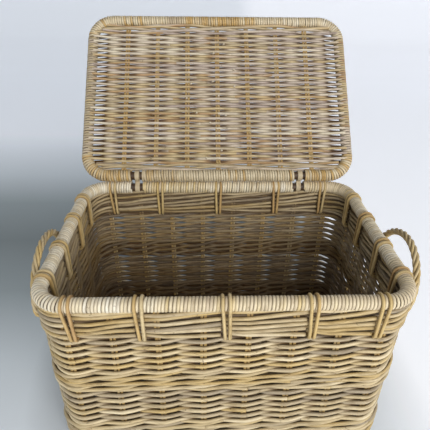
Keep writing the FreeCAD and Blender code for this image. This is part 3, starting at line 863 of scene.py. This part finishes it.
def edge_rods(name, node, first_v, way):
    """Long rods laid over and under in threes along one edge of the lid."""
    canes = Canes()
    for rod in range(EDGE_RODS):
        x = np.linspace(EDGE_END - LID_HALF_X, LID_HALF_X - EDGE_END, 70)
        u = np.mod(x / LID_PITCH + rod, 3)
        near = np.clip(np.minimum(u, 3 - u), 0, 1)
        lift = -EDGE_SWING * np.cos(math.pi * near)
        v = first_v + way * (rod * EDGE_PITCH + 1.2 * MM * np.sin(x / LID_PITCH * 2.1 + rod * 2))
        canes.add(on_lid(x, v, lift), EDGE_ROD_R, LID_OUT, flat=EDGE_ROD_FLAT)
    canes.build(name, "lid", lid_cane, "weave_rattan", node)


edge_rods("lid_back_rod_canes", "lid_back_rods", WRAP_R + 2.7 * MM, 1)
edge_rods("lid_front_rod_canes", "lid_front_rods", LID_REACH - WRAP_R - 2.7 * MM, -1)

# ---------------------------------------------------------------- ties

TIE_R = 2.9 * MM
TIE_OVER = 12.6 * MM
# the back ties are pressed flat under the lid's pole
TIE_OVER_BACK = 11.2 * MM
TIE_FOOT = 63 * MM
# the two loops of a tie stand this far to each side of its middle, at the top and at the foot
TIE_TOP_APART = 5.4 * MM
TIE_FOOT_APART = 3.6 * MM


def tie_loop(canes, place, top_shift, foot_shift, top):
    """One closed loop of cane over the rim and through the wall under the border. top is its height
    over the rim's middle."""
    arch = np.linspace(0, math.pi, 13)
    legs = np.linspace(0, -TIE_FOOT + 5 * MM, 8)
    foot = [-9 * MM, 0, 9 * MM]
    out = np.concatenate([TIE_OVER * np.cos(arch), np.full(7, -TIE_OVER), foot, np.full(7, TIE_OVER)])
    z = np.concatenate([top * np.sin(arch), legs[1:], np.full(3, -TIE_FOOT), legs[:0:-1]])
    share = np.clip(-z / TIE_FOOT, 0, 1)
    s = place + top_shift + (foot_shift - top_shift) * share + wander(len(z), 0.25 * MM)
    points = on_wall(s, out, RIM_Z + z)
    canes.add(points, TIE_R * draw.uniform(0.94, 1.04), tangent_round(s), closed=True)


def tangent_round(s):
    normal = wall_normal(s)
    return np.column_stack([-normal[:, 1], normal[:, 0], np.zeros(len(s))])


FACE_TIES = {
    "front": [rim.front(x) for x in FRONT_TIES],
    "back": [rim.back(x) for x in FRONT_TIES],
    "left": [rim.left(y) for y in SIDE_TIES],
    "right": [rim.right(y) for y in SIDE_TIES],
}
for face, places in FACE_TIES.items():
    canes = Canes(10)
    top = TIE_OVER_BACK if face == "back" else TIE_OVER
    for place in places:
        lean = draw.normal(0, 1.2 * MM)
        for side in (-1, 1):
            tie_loop(canes, place, side * TIE_TOP_APART + lean, side * TIE_FOOT_APART - lean, top)
    canes.build(f"{face}_tie_canes", "basket", tie_cane, "tie_cane", f"{face}_ties")

# ---------------------------------------------------------------- hinge ties

HINGE_CANE_R = 1.9 * MM
HINGE_LOOP_R = POLE_R + 1.5 * MM
HINGE_TURNS = 4
HINGE_HALF = 4.6 * MM
apart = HINGE_Z - RIM_Z
tangent_angle = math.acos(2 * HINGE_LOOP_R / apart)


def figure_eight():
    """Points in Y and Z of one turn round the rim pole and the lid pole, crossing between them."""
    sweep = np.linspace(0, 2 * math.pi - 2 * tangent_angle, 16)
    below = tangent_angle + sweep
    above = math.pi - tangent_angle - sweep
    y = HINGE_LOOP_R * np.concatenate([np.sin(below), np.sin(above)])
    z = HINGE_LOOP_R * np.concatenate([np.cos(below), np.cos(above)])
    z[len(sweep):] += apart
    return y, z


loop_y, loop_z = figure_eight()
for side, x in zip(("left", "right"), HINGE_TIES):
    canes = Canes()
    count = HINGE_TURNS * len(loop_y)
    y = np.tile(loop_y, HINGE_TURNS)
    z = np.tile(loop_z, HINGE_TURNS)
    spots = np.linspace(x - HINGE_HALF, x + HINGE_HALF, count)
    points = np.column_stack([spots, HINGE_Y + y, RIM_Z + z])
    canes.add(points, HINGE_CANE_R, ALONG_X, tint=0.12, flat=0.55)
    canes.build(f"{side}_hinge_canes", "basket", wrap_cane, "tie_cane", f"{side}_hinge_tie")

# ---------------------------------------------------------------- handles

HANDLE_STRANDS = 4
STRAND_R = 2.7 * MM
STRAND_OFF = 3.9 * MM
STRAND_TWIST = 62 * MM
HANDLE_TOP_IN = 3.5 * MM
HANDLE_TOP_UP = 4 * MM
HANDLE_CORE_R = 3.0 * MM
# distances of a handle's feet, and of their hidden ends, from the middle of the hamper
HANDLE_FOOT_X = 311.5 * MM
HANDLE_END_X = 292 * MM
HANDLE_STEP = 5 * MM


def handle_line(side):
    """Middle line of a handle, from foot to foot, and the direction its arch leans to."""
    low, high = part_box(f"{side}_handle_core")
    sign = -1 if side == "left" else 1
    foot_x = sign * HANDLE_FOOT_X
    top_x = (low.x if sign < 0 else high.x) - sign * (HANDLE_CORE_R + HANDLE_TOP_IN)
    top_z, foot_z = high.z - HANDLE_CORE_R + HANDLE_TOP_UP, low.z + HANDLE_CORE_R
    middle, half = (low.y + high.y) / 2, (high.y - low.y) / 2 - HANDLE_CORE_R
    lean = math.atan2(sign * (top_x - foot_x), top_z - foot_z)
    rise = np.array([sign * math.sin(lean), 0, math.cos(lean)])
    height = math.hypot(top_x - foot_x, top_z - foot_z)
    angle = np.linspace(math.pi, 0, 45)
    arch = [
        np.array([foot_x, middle + half * math.cos(a), foot_z]) + rise * (height - half + half * math.sin(a))
        for a in angle
    ]
    inner = sign * HANDLE_END_X

    def foot(across):
        return [
            np.array([inner, across, foot_z]),
            np.array([foot_x - sign * 8 * MM, across, foot_z]),
            np.array([foot_x - sign * 1.5 * MM, across, foot_z + 3 * MM]),
        ]

    line = np.array(foot(middle - half) + arch + foot(middle + half)[::-1])
    return line, np.cross(rise, np.array([0, 1.0, 0]))


def resample(points, step):
    """The same line, walked in equal steps."""
    steps = np.linalg.norm(np.diff(points, axis=0), axis=1)
    along = np.concatenate([[0], np.cumsum(steps)])
    count = int(along[-1] / step) + 1
    spots = np.linspace(0, along[-1], count)
    return spots, np.column_stack([np.interp(spots, along, points[:, axis]) for axis in range(3)])


for side in ("left", "right"):
    line, across = handle_line(side)
    spots, middle = resample(line, HANDLE_STEP)
    tangent = np.gradient(middle, axis=0)
    tangent /= np.linalg.norm(tangent, axis=1)[:, None]
    second = np.cross(tangent, across)
    second /= np.linalg.norm(second, axis=1)[:, None]
    first = np.cross(second, tangent)
    canes = Canes()
    way = -1 if side == "left" else 1
    for strand in range(HANDLE_STRANDS):
        angle = way * 2 * math.pi * spots / STRAND_TWIST + strand * 2 * math.pi / HANDLE_STRANDS
        points = middle + STRAND_OFF * (np.cos(angle)[:, None] * first + np.sin(angle)[:, None] * second)
        canes.add(points, STRAND_R, across)
    canes.build(f"{side}_handle_canes", "basket", handle_cane, "handle_rattan",
                f"{side}_handle_strands", f"{side}_handle_core")

# ---------------------------------------------------------------- base

base_low, base_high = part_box("base_weave")
BASE_ROW = 7.2 * MM
BASE_ROD_R = 3.5 * MM
# painted shade over the base, as on the wall's inner face near the bottom
base = Canes(unshaded_share=wall_painted_shade)
base_z = (base_low.z + base_high.z) / 2
BASE_SWING = min(4.6 * MM, base_z - BASE_ROD_R - 0.5 * MM)
rows = int((base_high.y - base_low.y - 6 * MM) / BASE_ROW)
for row in range(rows):
    y = base_low.y + 3 * MM + (row + 0.5) * (base_high.y - base_low.y - 6 * MM) / rows
    inset = max(0.0, abs(y) - (base_high.y - CORNER + 8 * MM))
    reach = base_high.x - 2 * MM - (CORNER - math.sqrt(max(CORNER**2 - inset**2, 0)))
    x = np.linspace(-reach, reach, 66)
    u = x / STAKE_PITCH + 0.5 + row
    close = np.abs(np.mod(u, 2) - 1)
    lift = BASE_SWING * (0.55 * np.cos(math.pi * close) + 0.45 * (1 - 2 * close))
    base.add(np.column_stack([x, y + wander(66, 0.3 * MM), base_z + lift]), BASE_ROD_R, np.array([0, 1.0, 0]))
base.build("base_weave_canes", "basket", wall_cane, "weave_rattan", "base_weave")

# ---------------------------------------------------------------- CAD rods that stay

# the rim and lid poles take the painted-shade dark brown look
CAD_LOOKS = {"rim_pole": shaded_pole, "lid_pole": shaded_pole, "base_hoop": bare_pole, "base_sticks": bare_pole}
for node, look in CAD_LOOKS.items():
    thing = frame["nodes"][node]
    thing.data.materials.clear()
    thing.data.materials.append(look)
    for polygon in thing.data.polygons:
        polygon.use_smooth = True

# ---------------------------------------------------------------- stage, light, camera

WHITE = srgb(240, 242, 247)
# a band of shade across the floor behind the object, which stops at its right side
SHADE_MIDDLE_Y = 0.5
SHADE_RIGHT_EDGE = (0.29, 0.44)
SHADE_STOPS = [
    (0.0, srgb(112, 119, 121)), (0.25, srgb(132, 140, 143)), (0.5, srgb(178, 185, 190)),
    (0.85, srgb(212, 217, 223)), (1.0, srgb(222, 226, 232)),
]
# painted shadow: the paper's painted glow is turned off under and behind the object
UNLIT_MIDDLE = (-0.045, 0.25)
UNLIT_REACH = (0.33, 0.54)
UNLIT_EDGE = (0.75, 1.5)
UNLIT_LEAST = 0.12
PAPER_GLOW = 0.37
# the floor sweeps up into a wall all round: (how far, how high, radius of the sweep)
STAGE_SIDES = {"back": (4.0, 5.0), "front": (5.5, 4.0), "side": (5.5, 4.0)}
SWEEP = 1.4


def stage_material():
    """Pale paper with a painted glow, a little lit from within, with painted shadow under and behind the
    object and a soft painted shadow band to the left behind it.
    """
    n = Nodes("floor_paper")
    place = n.new("ShaderNodeTexCoord").outputs["Object"]
    split = n.new("ShaderNodeSeparateXYZ")
    n.link(place, split.inputs[0])
    from_middle = n.math("ABSOLUTE", n.math("SUBTRACT", split.outputs[1], SHADE_MIDDLE_Y))
    shade = n.ramp(from_middle, SHADE_STOPS)
    colour = n.mix(n.spread(split.outputs[0], 0.0, 1.0, *SHADE_RIGHT_EDGE), shade, WHITE)
    n.link(colour, n.shader.inputs["Base Color"])
    offsets = [
        n.math("POWER", n.math("ABSOLUTE", n.math("DIVIDE", n.math("SUBTRACT", output, middle), reach)), 3.0)
        for output, middle, reach in zip(split.outputs, UNLIT_MIDDLE, UNLIT_REACH)
    ]
    lit = n.spread(n.math("ADD", *offsets), UNLIT_LEAST, 1.0, *UNLIT_EDGE)
    # painted glow of the paper, darkened to painted shadow under and behind the object
    n.link(n.mix(lit, (0, 0, 0, 1), colour), n.shader.inputs["Emission Color"])
    n.shader.inputs["Emission Strength"].default_value = PAPER_GLOW
    n.shader.inputs["Roughness"].default_value = 0.9
    n.shader.inputs["Specular IOR Level"].default_value = 0.1
    return n.material


def make_stage():
    """Pale floor that curves up into a wall on every side. The back wall is the highest."""
    rings = [(SWEEP, 0.0, 0.0)]
    for a in np.linspace(0.1, math.pi / 2, 10):
        rings.append((SWEEP * (1 - math.sin(a)), SWEEP * (1 - math.cos(a)), 0.0))
    rings.append((0.0, SWEEP, 1.0))
    (back, back_top), (front, side_top), (side, _) = STAGE_SIDES.values()
    verts = []
    for inset, z, lift in rings:
        x, y_front, y_back = side - inset, inset - front, back - inset
        low_z, high_z = z + lift * (side_top - SWEEP), z + lift * (back_top - SWEEP)
        verts += [(-x, y_front, low_z), (x, y_front, low_z), (x, y_back, high_z), (-x, y_back, high_z)]
    faces = [(0, 1, 2, 3)]
    for ring in range(len(rings) - 1):
        for corner in range(4):
            beside = (corner + 1) % 4
            inner, outer = 4 * ring, 4 * ring + 4
            faces.append((inner + corner, outer + corner, outer + beside, inner + beside))
    mesh = bpy.data.meshes.new("floor_sweep")
    mesh.from_pydata(verts, [], faces)
    mesh.shade_smooth()
    mesh.set_sharp_from_angle(angle=math.radians(40))
    mesh.materials.append(stage_material())
    floor = bpy.data.objects.new("floor_sweep", mesh)
    bpy.context.scene.collection.objects.link(floor)


def area_light(name, place, target, size, power, colour):
    data = bpy.data.lights.new(name, "AREA")
    data.shape = "RECTANGLE"
    data.size, data.size_y = size
    data.energy = power
    data.color = colour
    lamp = bpy.data.objects.new(name, data)
    bpy.context.scene.collection.objects.link(lamp)
    lamp.location = place
    lamp.rotation_euler = (Vector(target) - Vector(place)).to_track_quat("-Z", "Y").to_euler()


PANEL_PLACE = (0.9, -3.1, 1.9)
PANEL_TARGET = (0, 0, 0.4)
PANEL_SIZE = (3.0, 2.2)
PANEL_POWER = 104
PANEL_COLOUR = (1.0, 0.98, 0.93)
WORLD_COLOUR = (0.88, 0.94, 1.0, 1)
WORLD_STRENGTH = 0.08


def make_lights():
    area_light("front_panel", PANEL_PLACE, PANEL_TARGET, PANEL_SIZE, PANEL_POWER, PANEL_COLOUR)
    world = bpy.data.worlds.new("studio")
    world.use_nodes = True
    world.node_tree.nodes["Background"].inputs["Color"].default_value = WORLD_COLOUR
    world.node_tree.nodes["Background"].inputs["Strength"].default_value = WORLD_STRENGTH
    bpy.context.scene.world = world


CAMERA_FROM_RIM = Vector((-36.5 * MM, -675 * MM, 436 * MM))
CAMERA_PITCH = math.radians(30.4)
CAMERA_YAW = math.radians(1.97)
CAMERA_ROLL = math.radians(0.75)


def make_camera():
    data = bpy.data.cameras.new("camera")
    data.sensor_width = 36.0
    data.lens = 36.0
    data.clip_start = 0.02
    camera = bpy.data.objects.new("camera", data)
    bpy.context.scene.collection.objects.link(camera)
    ahead = Vector((
        math.sin(CAMERA_YAW) * math.cos(CAMERA_PITCH),
        math.cos(CAMERA_YAW) * math.cos(CAMERA_PITCH),
        -math.sin(CAMERA_PITCH),
    ))
    level = ahead.cross(Vector((0, 0, 1))).normalized()
    above = level.cross(ahead)
    right = math.cos(CAMERA_ROLL) * level + math.sin(CAMERA_ROLL) * above
    top = math.cos(CAMERA_ROLL) * above - math.sin(CAMERA_ROLL) * level
    turn = Matrix((right, top, -ahead)).transposed().to_4x4()
    camera.matrix_world = Matrix.Translation(Vector((0, 0, RIM_Z)) + CAMERA_FROM_RIM) @ turn
    bpy.context.scene.camera = camera


make_stage()
make_lights()
make_camera()
bpy.context.scene.view_settings.view_transform = "Standard"
